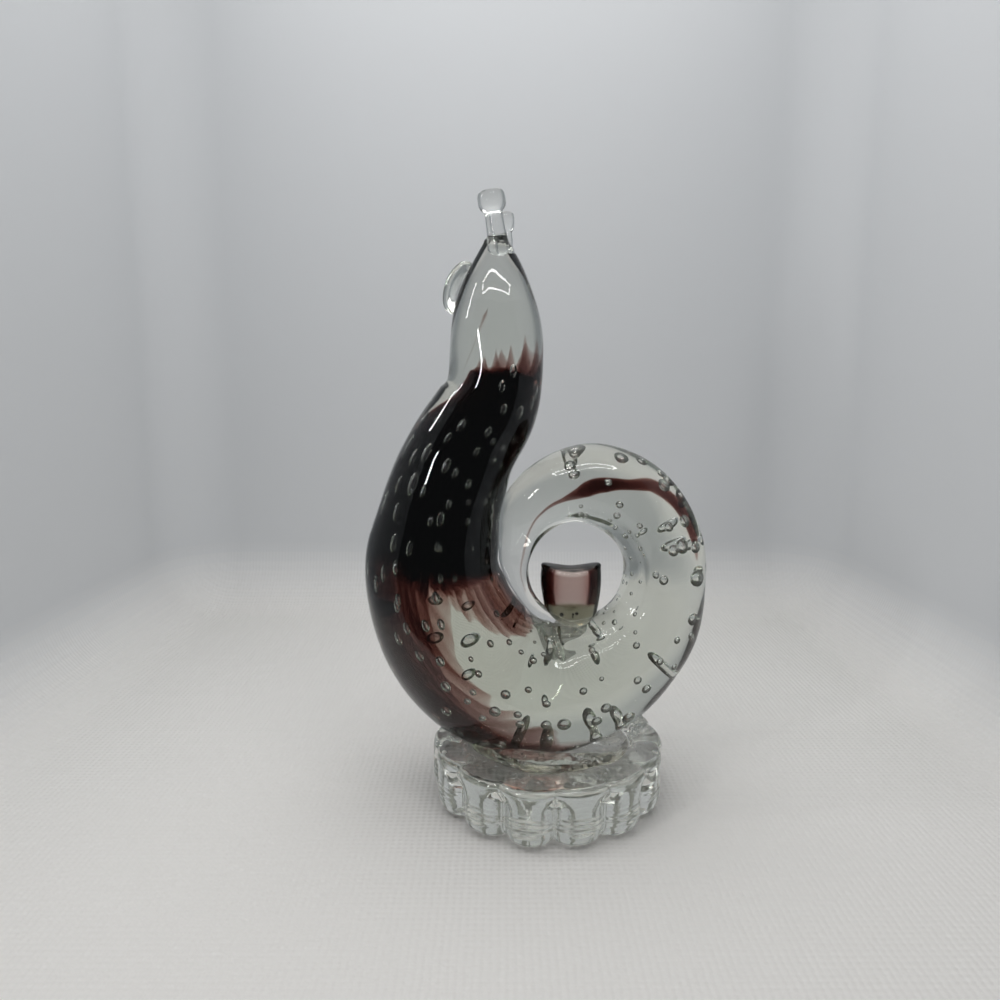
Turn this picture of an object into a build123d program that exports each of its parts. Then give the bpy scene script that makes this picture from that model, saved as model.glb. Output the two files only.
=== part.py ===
from build123d import *

import math
import os

# Solid glass snail on a fluted foot, built up the way a glassmaker builds it.
#
# Millimetres, +Z up, +X to the snail's tail side, +Y away from the viewer.
# The origin is the middle of the foot's flat underside.
#
# The snail is one thick tube of glass. It starts at the crown of the head, comes down the neck
# and winds round an open eye, growing thinner, until the tail rests inside its own first turn.
# Every clear or coloured layer is a loft of circles along that one centre line.

# Foot: a flat disc with round lobes pressed out of its edge
FOOT_RADIUS = 35.8
FOOT_HEIGHT = 18.0
LOBE_COUNT = 14
LOBE_RADIUS = 8.4
LOBE_TOP_ROUNDING = 3.2
LOBE_BOTTOM_ROUNDING = 4.6

# Wafer: the saucer of hot glass that joins the coil to the foot
WAFER_COLLAR = 12.4
WAFER_FLOOR = 2.4
WAFER_LIP = 2.8
WAFER_LIP_SLOPE = 7.5

# Coil: the tube's radius at the shoulder, in the outer whorl and in the tail
EYE_RADIUS = 14.5
EYE_OFFSET = 8.2
SEAT_HEIGHT = 13.1
BODY_RADIUS = 22.2
WHORL_RADIUS = 12.3
TAIL_RADIUS = 3.1
TAIL_TIP_RADIUS = 2.2
WHORL_GAP = 0.7

# Coil angles, in degrees: 0 points along +X, 90 up, 180 to the neck, and on round to the tail
NECK_ANGLE = 147.4
SHOULDER_ANGLE = 219.0
BODY_TAPER = (219.0, 362.0)
TAIL_TAPER = (435.0, 530.0)
TIP_TAPER = (530.0, 572.0)
TAIL_END_ANGLE = 572.0
EYE_RELEASE = (214.0, 296.0)
SEAT_ANGLE = 260.0
BUD_ANGLE = 270.0
COIL_STEP = 10.0

# Neck and head, measured from where the neck leaves the coil
NECK_RISE = 40.0
NECK_LEAN = 14.8
NECK_PULL = 71.0
NECK_SECTIONS = 8
HEAD_RADIUS = 13.6
HEAD_LENGTH = 30.2
CROWN_RADIUS = 3.8
HEAD_SECTIONS = 7
CROWN_BEAD_PROUD = 0.6
CROWN_BEAD_SINK = 3.0
HEAD_TURN = 24.0

# Layers inside the clear casing
CASING_WALL = 5.5
SHEATH_WALL = 2.2
COLOUR_TOP = 6.0
COLOUR_END_ANGLE = 242.0
HEART_START_ANGLE = 190.0
TAIL_COLOUR_WALL = 0.8
TAIL_COLOUR_START_ANGLE = 368.0
TAIL_COLOUR_SETBACK = 6.0

# Bud: the rounded lump of amethyst glass that ends the tail, at the bottom of the eye
BUD_RADIUS = 9.2
BUD_ROUNDING = 7.6
BUD_TOP = 3.2
BUD_SHIFT = -1.6
BUD_SINK = 3.2

# Tentacles: stalks with a flattened knob, one on each side of the crown
STALK_RADIUS = 2.1
STALK_FOOT_RADIUS = 3.0
STALK_LENGTH = 14.0
KNOB_RADIUS = 3.8
KNOB_HEIGHT = 5.4
KNOB_ROUNDING = 2.5
STALK_SPACING = 8.2
STALK_SINK = 2.0
NEAR_STALK_LEAN = -4.0
FAR_STALK_LEAN = 6.0
STALK_SPLAY = 5.0
FAR_STALK_SHORTER = 3.8

# Lip: an oval pad of glass laid on the front of the face
LIP_RADIUS = 8.0
LIP_THICKNESS = 5.6
LIP_ROUNDING = 2.6
LIP_DROP = 14.0
LIP_TILT = 22.0
LIP_STANDOFF = 0.6

# Clearances between neighbouring pieces of glass
SEAT_GAP = 0.2
LAYER_GAP = 0.05

FULL_TURN = 360.0


def smoothstep(value, start, end):
    """Share of the way from start to end, eased at both ends."""
    share = min(1.0, max(0.0, (value - start) / (end - start)))
    return share * share * (3 - 2 * share)


def coil_radius(angle):
    """Radius of the glass tube at a coil angle."""
    thinned = (BODY_RADIUS - WHORL_RADIUS) * smoothstep(angle, *BODY_TAPER)
    drawn_out = (WHORL_RADIUS - TAIL_RADIUS) * smoothstep(angle, *TAIL_TAPER)
    pointed = (TAIL_RADIUS - TAIL_TIP_RADIUS) * smoothstep(angle, *TIP_TAPER)
    return BODY_RADIUS - thinned - drawn_out - pointed


def coil_inside(angle):
    """Distance from the eye's axis to the near side of the tube.

    The first turn lies on the tail, and past the tail's end it settles on the eye itself.
    """
    tail_angle = min(angle + FULL_TURN, TAIL_END_ANGLE)
    on_tail = 2 * coil_radius(tail_angle) + WHORL_GAP
    return EYE_RADIUS + on_tail * (1 - smoothstep(angle, *EYE_RELEASE))


def coil_centre(angle):
    """Centre of the tube at a coil angle, as distances from the eye along X and Z."""
    reach = coil_inside(angle) + coil_radius(angle)
    turn = math.radians(angle)
    return reach * math.cos(turn), reach * math.sin(turn)


def coil_angles(start, end):
    """Evenly spaced coil angles from start to end, near COIL_STEP apart."""
    count = max(2, round(abs(end - start) / COIL_STEP))
    return [start + (end - start) * i / count for i in range(count + 1)]


# The eye stands so that the coil's underside is SEAT_HEIGHT above the table
coil_depth = max(
    coil_radius(angle) - coil_centre(angle)[1]
    for angle in range(int(SHOULDER_ANGLE), int(SHOULDER_ANGLE + FULL_TURN / 2))
)
EYE = Vector(EYE_OFFSET, 0, SEAT_HEIGHT + coil_depth)


def coil_point(angle):
    """Centre of the tube at a coil angle, in the part's frame."""
    x, z = coil_centre(angle)
    return EYE + Vector(x, 0, z)


neck_start = coil_point(NECK_ANGLE)
neck_heading = (coil_point(NECK_ANGLE - 1) - coil_point(NECK_ANGLE + 1)).normalized()
head_base = neck_start + Vector(NECK_LEAN, 0, NECK_RISE)
crown = head_base + Vector(0, 0, HEAD_LENGTH)


def neck_point(share):
    """Point on the neck's curve, which leaves along the coil and arrives upright at the head."""
    a, b = share * share, share * share * share
    return (
        neck_start * (2 * b - 3 * a + 1)
        + neck_heading * NECK_PULL * (b - 2 * a + share)
        + head_base * (3 * a - 2 * b)
        + Vector(0, 0, NECK_PULL) * (b - a)
    )


def head_radius(height):
    """Radius of the head at a height above its base: a rounded nose cone."""
    return HEAD_RADIUS - (HEAD_RADIUS - CROWN_RADIUS) * (height / HEAD_LENGTH) ** 2


shoulder_length = (coil_point(NECK_ANGLE) - coil_point(SHOULDER_ANGLE)).length
neck_length = (head_base - neck_start).length


def coil_heading(angle):
    """Direction of the tube's centre line at a coil angle, towards the head."""
    return (coil_point(angle - 0.5) - coil_point(angle + 0.5)).normalized()


def neck_radius(length):
    """Radius of the tube at a distance from the shoulder towards the head."""
    total = shoulder_length + neck_length
    return BODY_RADIUS + (HEAD_RADIUS - BODY_RADIUS) * smoothstep(length, 0, total)


def coil_stations(start, end):
    """(centre, heading, radius) along the coil, from start to end in coil angle."""
    stations = []
    for angle in coil_angles(start, end):
        radius = coil_radius(angle)
        if angle < SHOULDER_ANGLE:
            radius = neck_radius((coil_point(angle) - coil_point(SHOULDER_ANGLE)).length)
        stations.append((coil_point(angle), coil_heading(angle), radius))
    return stations


def neck_stations(end_share=1.0):
    """(centre, heading, radius) up the neck, after the coil and up to a share of its length."""
    stations = []
    for i in range(1, NECK_SECTIONS + 1):
        share = end_share * i / NECK_SECTIONS
        heading = neck_point(share + 0.01) - neck_point(share - 0.01)
        radius = neck_radius(shoulder_length + share * neck_length)
        stations.append((neck_point(share), heading, radius))
    return stations


def head_stations():
    """(centre, heading, radius) up the head, to the crown."""
    up = Vector(0, 0, 1)
    stations = []
    for i in range(1, HEAD_SECTIONS + 1):
        height = HEAD_LENGTH * i / HEAD_SECTIONS
        stations.append((head_base + up * height, up, head_radius(height)))
    return stations


def glass_tube(stations, grow=0.0):
    """Solid loft of circles, each of two half arcs, through the stations, all grown alike."""
    with BuildPart() as tube:
        for centre, heading, radius in stations:
            with BuildSketch(Plane(origin=centre, x_dir=(0, 1, 0), z_dir=heading)):
                with BuildLine():
                    CenterArc((0, 0), radius + grow, 0, FULL_TURN / 2)
                    CenterArc((0, 0), radius + grow, FULL_TURN / 2, FULL_TURN / 2)
                make_face()
        loft()
    return tube.part


def thinner(stations, wall):
    """The same stations with a wall's thickness taken off the radius."""
    return [(centre, heading, radius - wall) for centre, heading, radius in stations]


def colour_stations(start_angle):
    """Stations of the coloured layer's outside, from a coil angle up to the neck's top."""
    share = 1 - COLOUR_TOP / neck_length
    return thinner(coil_stations(start_angle, NECK_ANGLE) + neck_stations(share), CASING_WALL)


snail_stations = coil_stations(TAIL_END_ANGLE, NECK_ANGLE) + neck_stations() + head_stations()
tail_colour_stations = [
    (centre, heading, TAIL_TIP_RADIUS - TAIL_COLOUR_WALL)
    for centre, heading, _ in coil_stations(
        TAIL_END_ANGLE - TAIL_COLOUR_SETBACK, TAIL_COLOUR_START_ANGLE
    )
]
heart_stations = thinner(
    coil_stations(COLOUR_END_ANGLE, HEART_START_ANGLE), CASING_WALL + SHEATH_WALL
)


# The bead reaches just past the rim of the head's open top
crown_bead_radius = math.hypot(CROWN_RADIUS, CROWN_BEAD_SINK) + CROWN_BEAD_PROUD


def snail_solid(grow=0.0):
    """The whole snail with a round bead for its crown, grown by the same amount all over."""
    with BuildPart() as snail:
        add(glass_tube(snail_stations, grow))
        with Locations(crown - Vector(0, 0, CROWN_BEAD_SINK)):
            Sphere(crown_bead_radius + grow)
    return snail.part


# A slightly grown copy of the snail shapes the pieces that are stuck onto it
seat_cutter = snail_solid(grow=SEAT_GAP)

# Clear casing: the whole snail, hollow where the coloured layers lie
with BuildPart() as clear_casing:
    add(snail_solid())
    add(glass_tube(colour_stations(COLOUR_END_ANGLE), grow=LAYER_GAP), mode=Mode.SUBTRACT)
    add(glass_tube(tail_colour_stations, grow=LAYER_GAP), mode=Mode.SUBTRACT)

# Amethyst core: solid in the neck, a thin sheath where it runs out along the coil
with BuildPart() as amethyst_core:
    add(glass_tube(colour_stations(COLOUR_END_ANGLE)))
    add(glass_tube(heart_stations, grow=LAYER_GAP), mode=Mode.SUBTRACT)

# Clear heart: the first gather, inside the sheath
with BuildPart() as clear_heart:
    add(glass_tube(heart_stations))

# Amethyst thread drawn out along the tail
with BuildPart() as amethyst_tail:
    add(glass_tube(tail_colour_stations))

# Tail bud, pressed onto the floor of the eye and against the tail's tip
bud_depth = coil_inside(BUD_ANGLE) + BUD_SINK
with BuildPart() as tail_bud:
    with Locations(EYE + Vector(BUD_SHIFT, 0, -bud_depth)):
        Cylinder(BUD_RADIUS, bud_depth + BUD_TOP, align=(Align.CENTER, Align.CENTER, Align.MIN))
    fillet(tail_bud.edges().group_by(Axis.Z)[-1], BUD_ROUNDING)
    add(seat_cutter, mode=Mode.SUBTRACT)


# One lobe of the foot, standing at the origin
with BuildPart() as lobe:
    Cylinder(LOBE_RADIUS, FOOT_HEIGHT, align=(Align.CENTER, Align.CENTER, Align.MIN))
    fillet(lobe.edges().group_by(Axis.Z)[-1], LOBE_TOP_ROUNDING)
    fillet(lobe.edges().group_by(Axis.Z)[0], LOBE_BOTTOM_ROUNDING)


# The wafer reaches a collar's width past the print that the coil leaves level with the foot's top
print_depth = FOOT_HEIGHT - SEAT_HEIGHT
print_radius = math.sqrt(print_depth * (2 * coil_radius(SEAT_ANGLE) - print_depth))
wafer_radius = print_radius + WAFER_COLLAR
wafer_bottom = SEAT_HEIGHT - WAFER_FLOOR
wafer_top = FOOT_HEIGHT + WAFER_LIP

# Blank of the joining wafer: a saucer with a sloping lip
with BuildPart() as wafer_blank:
    with BuildSketch(Plane.XZ):
        with BuildLine():
            Polyline(
                (0, wafer_bottom),
                (0, wafer_top),
                (wafer_radius - WAFER_LIP_SLOPE, wafer_top),
                (wafer_radius, FOOT_HEIGHT),
            )
            TangentArc((0, wafer_bottom), (wafer_radius, FOOT_HEIGHT), tangent=(1, 0))
        make_face()
    revolve(axis=Axis.Z)

# Fluted foot, dished for the wafer and for the coil's underside
with BuildPart() as fluted_foot:
    Cylinder(
        FOOT_RADIUS - LOBE_RADIUS,
        FOOT_HEIGHT,
        align=(Align.CENTER, Align.CENTER, Align.MIN),
    )
    with PolarLocations(FOOT_RADIUS - LOBE_RADIUS, LOBE_COUNT):
        add(lobe.part)
    add(seat_cutter, mode=Mode.SUBTRACT)
    add(wafer_blank.part, mode=Mode.SUBTRACT)

# Joining wafer, pressed round the underside of the coil
with BuildPart() as joining_wafer:
    add(wafer_blank.part)
    add(seat_cutter, mode=Mode.SUBTRACT)


def tentacle(across, length, lean, splay):
    """Tapered stalk with a rounded knob, standing on the crown."""
    foot = crown + Vector(0, across, -STALK_SINK).rotate(Axis.Z, -HEAD_TURN)
    upright = Plane(origin=foot).rotated((splay, lean, 0))
    with BuildPart(upright) as blank:
        with Locations((0, 0, length)):
            Cylinder(KNOB_RADIUS, KNOB_HEIGHT)
        fillet(blank.edges().filter_by(GeomType.CIRCLE), KNOB_ROUNDING)
        Cone(
            STALK_FOOT_RADIUS,
            STALK_RADIUS,
            length,
            align=(Align.CENTER, Align.CENTER, Align.MIN),
        )
    with BuildPart() as made:
        add(blank.part)
        add(seat_cutter, mode=Mode.SUBTRACT)
    return made.part


near_tentacle = tentacle(-STALK_SPACING / 2, STALK_LENGTH, NEAR_STALK_LEAN, STALK_SPLAY)
far_tentacle = tentacle(
    STALK_SPACING / 2, STALK_LENGTH - FAR_STALK_SHORTER, FAR_STALK_LEAN, -STALK_SPLAY
)

# Lip: a round pad of glass, its back shaped by the face that it lies on
lip_height = HEAD_LENGTH - LIP_DROP
lip_reach = head_radius(lip_height) + LIP_STANDOFF
lip_middle = head_base + Vector(-lip_reach, 0, lip_height).rotate(Axis.Z, -HEAD_TURN)
lip_normal = Vector(-1, 0, 0).rotate(Axis.Y, LIP_TILT).rotate(Axis.Z, -HEAD_TURN)
with BuildPart(Plane(origin=lip_middle, z_dir=lip_normal)) as lip_blank:
    Cylinder(LIP_RADIUS, LIP_THICKNESS)
    fillet(lip_blank.edges().filter_by(GeomType.CIRCLE), LIP_ROUNDING)

with BuildPart() as face_lip:
    add(lip_blank.part)
    add(seat_cutter, mode=Mode.SUBTRACT)

pieces = {
    "fluted_foot": fluted_foot.part,
    "joining_wafer": joining_wafer.part,
    "clear_casing": clear_casing.part,
    "amethyst_core": amethyst_core.part,
    "clear_heart": clear_heart.part,
    "amethyst_tail": amethyst_tail.part,
    "tail_bud": tail_bud.part,
    "near_tentacle": near_tentacle,
    "far_tentacle": far_tentacle,
    "face_lip": face_lip.part,
}
os.makedirs("parts", exist_ok=True)
for name, piece in pieces.items():
    piece.label = name
    export_step(piece, f"parts/{name}.step")
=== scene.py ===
import math

import bmesh
import bpy
import numpy as np
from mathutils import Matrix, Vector


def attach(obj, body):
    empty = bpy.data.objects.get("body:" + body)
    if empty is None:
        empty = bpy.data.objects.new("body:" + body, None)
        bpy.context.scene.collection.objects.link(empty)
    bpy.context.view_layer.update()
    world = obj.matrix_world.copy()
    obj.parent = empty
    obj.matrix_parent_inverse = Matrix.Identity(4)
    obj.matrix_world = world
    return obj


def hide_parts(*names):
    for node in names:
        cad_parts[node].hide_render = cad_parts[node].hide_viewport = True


# A solid glass snail: a clear tube with rows of air bubbles, wound round an open eye, over a core of
# amethyst glass that is black in the neck and runs out in brush strokes along the coil.
# Sizes are in millimetres unless a name says otherwise; meshes are written in metres.

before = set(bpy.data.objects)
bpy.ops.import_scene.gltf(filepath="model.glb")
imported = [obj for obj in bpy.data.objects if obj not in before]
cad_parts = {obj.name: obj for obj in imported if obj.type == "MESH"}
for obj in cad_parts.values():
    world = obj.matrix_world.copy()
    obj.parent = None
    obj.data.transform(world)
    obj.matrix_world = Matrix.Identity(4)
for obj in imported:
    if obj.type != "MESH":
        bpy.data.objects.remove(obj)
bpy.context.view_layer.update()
scene = bpy.context.scene

MM = 0.001

# Foot and the wafer of glass between foot and coil
FOOT_RADIUS = 35.8
FOOT_HEIGHT = 18.0
LOBE_COUNT = 14
GROOVE_DEPTH = 4.4
LOBE_TOP_ROUNDING = 2.4
LOBE_BOTTOM_ROUNDING = 5.2
RIPPLE_PITCH = 1.5
RIPPLE_HEIGHT = 0.16
COLLAR_HEIGHT = 20.6

# Coil
EYE_RADIUS = 14.5
EYE_X = 8.2
EYE_Z = 70.34
BODY_RADIUS = 22.2
WHORL_RADIUS = 12.3
TAIL_RADIUS = 3.1
TAIL_TIP_RADIUS = 2.2
WHORL_GAP = 0.7
NECK_ANGLE = 147.4
SHOULDER_ANGLE = 219.0
BODY_TAPER = (219.0, 362.0)
TAIL_TAPER = (435.0, 530.0)
TIP_TAPER = (530.0, 572.0)
TAIL_END_ANGLE = 572.0
TAIL_FADE = (572.0, 606.0)
TAIL_FADE_RADIUS = 0.9
TAIL_CLEARANCE = 0.3
TAIL_WIDENING_LIMIT = 4.2
EYE_BEAD_WIDTH = 4.2
EYE_BEAD_CREASE = 0.6
EYE_RELEASE = (214.0, 296.0)

# Neck and head
NECK_RISE = 40.0
NECK_LEAN = 14.8
NECK_PULL = 71.0
HEAD_RADIUS = 13.6
HEAD_LENGTH = 30.2
CROWN_RADIUS = 3.8
CROWN_CAP = 2.2
HEAD_TURN = 24.0
FOLD_BELOW_HEAD = 15.0
FOLD_HEIGHT = 1.4
FOLD_SPREAD_UP = 3.6
FOLD_SPREAD_DOWN = 9.0
CORE_TOP_BELOW_HEAD = 5.6

# Layers
CASING_WALL = 5.5
SHEATH_WALL = 2.7
BUBBLE_ROW_STEP = 7.2
BUBBLE_COLUMNS = 18
BUD_RADIUS = 9.2
BUD_ROUNDING = 2.0
BUD_TOP = 3.2
BUD_X = 6.6
BUD_SHELL = 0.9
BUD_COLOUR_FOOT = 60.2
BUD_HOLLOW = 2.6
BUD_DEPTH_SHARE = 0.62

RANDOM_SEED = 11
draw = np.random.default_rng(RANDOM_SEED)


# The snail's centre line

def ease(value, start, end):
    """Share of the way from start to end, eased at both ends."""
    share = np.clip((np.asarray(value, float) - start) / (end - start), 0.0, 1.0)
    return share * share * (3 - 2 * share)


def coil_radius(angle):
    """Tube's radius at a coil angle, in degrees from +X over the top to the neck and on to the tail."""
    thinned = (BODY_RADIUS - WHORL_RADIUS) * ease(angle, *BODY_TAPER)
    drawn_out = (WHORL_RADIUS - TAIL_RADIUS) * ease(angle, *TAIL_TAPER)
    pointed = (TAIL_RADIUS - TAIL_TIP_RADIUS) * ease(angle, *TIP_TAPER)
    faded = (TAIL_TIP_RADIUS - TAIL_FADE_RADIUS) * ease(angle, *TAIL_FADE)
    return BODY_RADIUS - thinned - drawn_out - pointed - faded


def coil_inside(angle):
    """Distance from the eye's axis to the tube's inner side, which lies on the tail in the first turn."""
    tail_angle = np.minimum(np.asarray(angle, float) + 360.0, TAIL_END_ANGLE)
    on_tail = 2 * coil_radius(tail_angle) + WHORL_GAP
    return EYE_RADIUS + on_tail * (1 - ease(angle, *EYE_RELEASE))


def coil_point(angle):
    """(x, z) of the tube's centre at a coil angle."""
    reach = coil_inside(angle) + coil_radius(angle)
    turn = np.radians(angle)
    return np.stack([EYE_X + reach * np.cos(turn), EYE_Z + reach * np.sin(turn)], -1)


class SnailPath:
    """The tube's centre line from the tail's tip to the crown, measured by length along it."""

    def __init__(self):
        angles = np.linspace(TAIL_FADE[1], NECK_ANGLE, 900)
        coil = coil_point(angles)
        shoulder, start = coil_point(SHOULDER_ANGLE), coil_point(NECK_ANGLE)
        heading = coil_point(NECK_ANGLE - 1) - coil_point(NECK_ANGLE + 1)
        heading = heading / np.linalg.norm(heading)
        self.head_base = start + np.array([NECK_LEAN, NECK_RISE])
        shoulder_length = np.linalg.norm(start - shoulder)
        neck_length = np.linalg.norm(self.head_base - start)

        def neck_radius(length):
            total = shoulder_length + neck_length
            return BODY_RADIUS + (HEAD_RADIUS - BODY_RADIUS) * ease(length, 0, total)

        coil_radii = coil_radius(angles)
        above = angles < SHOULDER_ANGLE
        coil_radii[above] = neck_radius(np.linalg.norm(coil[above] - shoulder, axis=1))
        share = np.linspace(0, 1, 240)[1:, None]
        square, cube = share ** 2, share ** 3
        neck = (
            start * (2 * cube - 3 * square + 1)
            + heading * NECK_PULL * (cube - 2 * square + share)
            + self.head_base * (3 * square - 2 * cube)
            + np.array([0, NECK_PULL]) * (cube - square)
        )
        neck_radii = neck_radius(shoulder_length + share[:, 0] * neck_length)
        height = np.linspace(0, HEAD_LENGTH, 120)[1:]
        head = self.head_base + np.stack([0 * height, height], -1)
        head_radii = HEAD_RADIUS - (HEAD_RADIUS - CROWN_RADIUS) * (height / HEAD_LENGTH) ** 2
        self.points = np.vstack([coil, neck, head])
        self.radii = np.concatenate([coil_radii, neck_radii, head_radii])
        steps = np.linalg.norm(np.diff(self.points, axis=0), axis=1)
        self.lengths = np.concatenate([[0], np.cumsum(steps)])
        self.coil_angles = angles
        self.coil_lengths = self.lengths[: len(angles)]
        self.neck_start = self.coil_lengths[-1]
        self.neck_end = self.lengths[len(angles) + len(neck) - 1]
        self.end = self.lengths[-1]

    def at_angle(self, angle):
        """Length along the path at a coil angle."""
        return np.interp(-np.asarray(angle, float), -self.coil_angles, self.coil_lengths)

    def angle(self, length):
        """Coil angle at a length along the path, held at the neck's angle beyond the coil."""
        return np.interp(length, self.coil_lengths, self.coil_angles)

    def radius(self, length):
        return np.interp(length, self.lengths, self.radii)

    def centre(self, length):
        """(x, z) of the centre line at a length."""
        x = np.interp(length, self.lengths, self.points[:, 0])
        z = np.interp(length, self.lengths, self.points[:, 1])
        return np.stack([x, z], -1)

    def heading(self, length):
        """Unit (x, z) along the tube towards the head."""
        step = 0.8
        ahead = self.centre(np.minimum(length + step, self.end))
        behind = self.centre(np.maximum(length - step, 0))
        way = ahead - behind
        return way / np.linalg.norm(way, axis=-1, keepdims=True)

    def place(self, length, turn, reach):
        """Points at a length, a turn (0 away from the eye, 90 to +Y) and a reach from the tube's centre."""
        length, turn, reach = np.broadcast_arrays(length, np.radians(turn), reach)
        centre, heading = self.centre(length), self.heading(length)
        outward = np.stack([-heading[..., 1], heading[..., 0]], -1)
        x = centre[..., 0] + reach * np.cos(turn) * outward[..., 0]
        z = centre[..., 1] + reach * np.cos(turn) * outward[..., 1]
        return np.stack([x, reach * np.sin(turn), z], -1)


path = SnailPath()


# Mesh helpers

def skin(rings, start=None, end=None):
    """bmesh through rings of points in millimetres, closed by a pole at each end that is given."""
    bm = bmesh.new()
    rows = [[bm.verts.new(Vector(point) * MM) for point in ring] for ring in rings]
    count = len(rows[0])
    for lower, upper in zip(rows, rows[1:]):
        for i in range(count):
            j = (i + 1) % count
            bm.faces.new((lower[i], lower[j], upper[j], upper[i]))
    for pole, row in ((start, rows[0]), (end, rows[-1])):
        if pole is not None:
            tip = bm.verts.new(Vector(pole) * MM)
            for i in range(count):
                bm.faces.new((row[i], row[(i + 1) % count], tip))
    bmesh.ops.recalc_face_normals(bm, faces=bm.faces)
    return bm


def finished_mesh(bm, name, materials):
    """Plain smooth mesh from a bmesh, with its materials."""
    mesh = bpy.data.meshes.new(name)
    bm.to_mesh(mesh)
    bm.free()
    mesh.shade_smooth()
    for material in materials:
        mesh.materials.append(material)
    return mesh


def add_piece(mesh, node):
    """Puts a finished mesh in the scene in place of a CAD node."""
    piece = bpy.data.objects.new(node + "_glass", mesh)
    scene.collection.objects.link(piece)
    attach(piece, "root")
    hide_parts(node)
    return piece


def comb(turns, centres, heights, width):
    """Pointed brush tips: the highest of a row of peaks, each at its own turn."""
    away = np.abs((turns[:, None] - centres[None, :] + 180.0) % 360.0 - 180.0)
    return (heights[None, :] * np.clip(1 - away / width, 0, 1) ** 1.4).max(1)


def waves(turns, amplitudes, shifts):
    """Sum of whole-number waves round the tube, so that it closes on itself."""
    total = np.zeros_like(turns)
    for i, (size, shift) in enumerate(zip(amplitudes, shifts)):
        total += size * np.cos(np.radians((i + 1) * turns) + shift)
    return total


# Materials

def worked_surface_group():
    """Slow waviness and faint smears of hand-worked glass, shared by the glass finishes."""
    group = bpy.data.node_groups.new("worked_surface", "ShaderNodeTree")
    face = group.interface
    scale = face.new_socket("Wave Size", in_out="INPUT", socket_type="NodeSocketFloat")
    depth = face.new_socket("Wave Depth", in_out="INPUT", socket_type="NodeSocketFloat")
    smear = face.new_socket("Smear", in_out="INPUT", socket_type="NodeSocketFloat")
    scale.default_value, depth.default_value, smear.default_value = 120.0, 0.1, 0.02
    face.new_socket("Roughness", in_out="OUTPUT", socket_type="NodeSocketFloat")
    face.new_socket("Normal", in_out="OUTPUT", socket_type="NodeSocketVector")
    nodes, links = group.nodes, group.links
    entry, exit_ = nodes.new("NodeGroupInput"), nodes.new("NodeGroupOutput")
    coords = nodes.new("ShaderNodeTexCoord")
    ripple = nodes.new("ShaderNodeTexNoise")
    ripple.inputs["Detail"].default_value = 1.0
    bump = nodes.new("ShaderNodeBump")
    bump.inputs["Distance"].default_value = 0.0006
    smears = nodes.new("ShaderNodeTexNoise")
    smears.inputs["Scale"].default_value = 60.0
    smears.inputs["Detail"].default_value = 4.0
    spread = nodes.new("ShaderNodeMapRange")
    spread.inputs["From Min"].default_value = 0.5
    spread.inputs["From Max"].default_value = 0.8
    spread.inputs["To Min"].default_value = 0.0
    links.new(coords.outputs["Object"], ripple.inputs["Vector"])
    links.new(coords.outputs["Object"], smears.inputs["Vector"])
    links.new(entry.outputs["Wave Size"], ripple.inputs["Scale"])
    links.new(entry.outputs["Wave Depth"], bump.inputs["Strength"])
    links.new(ripple.outputs["Fac"], bump.inputs["Height"])
    links.new(smears.outputs["Fac"], spread.inputs["Value"])
    links.new(entry.outputs["Smear"], spread.inputs["To Max"])
    links.new(spread.outputs["Result"], exit_.inputs["Roughness"])
    links.new(bump.outputs["Normal"], exit_.inputs["Normal"])
    return group


worked_surface = worked_surface_group()


def glass(name, ior, tint, density, wave=None):
    """Clear or coloured glass: sharp refraction, and colour that deepens with thickness."""
    material = bpy.data.materials.new(name)
    material.use_nodes = True
    nodes, links = material.node_tree.nodes, material.node_tree.links
    shader = nodes["Principled BSDF"]
    shader.inputs["Base Color"].default_value = (1, 1, 1, 1)
    shader.inputs["Roughness"].default_value = 0.0
    shader.inputs["IOR"].default_value = ior
    shader.inputs["Transmission Weight"].default_value = 1.0
    if wave:
        worked = nodes.new("ShaderNodeGroup")
        worked.node_tree = worked_surface
        worked.inputs["Wave Size"].default_value = wave[0]
        worked.inputs["Wave Depth"].default_value = wave[1]
        worked.inputs["Smear"].default_value = wave[2]
        links.new(worked.outputs["Roughness"], shader.inputs["Roughness"])
        links.new(worked.outputs["Normal"], shader.inputs["Normal"])
    volume = nodes.new("ShaderNodeVolumeAbsorption")
    volume.inputs["Color"].default_value = (*tint, 1)
    volume.inputs["Density"].default_value = density
    links.new(volume.outputs["Volume"], nodes["Material Output"].inputs["Volume"])
    return material


GLASS_IOR = 1.5
MATCHED_IOR = 1.0
clear_glass = glass("clear_glass", GLASS_IOR, (0.30, 0.39, 0.21), 15.0, wave=(55.0, 0.08, 0.02))
foot_glass = glass("foot_glass", GLASS_IOR, (0.40, 0.47, 0.30), 5.0, wave=(240.0, 0.25, 0.03))
seam_glass = glass("seam_glass", GLASS_IOR, (0.78, 0.72, 0.40), 12.0, wave=(320.0, 0.30, 0.03))
amethyst_glass = glass("amethyst_glass", MATCHED_IOR, (0.43, 0.09, 0.03), 850.0)
olive_glass = glass("olive_glass", MATCHED_IOR, (0.40, 0.38, 0.22), 260.0)
heart_glass = glass("heart_glass", MATCHED_IOR, (0.75, 0.60, 0.55), 4.0)


# Bubbles

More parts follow.
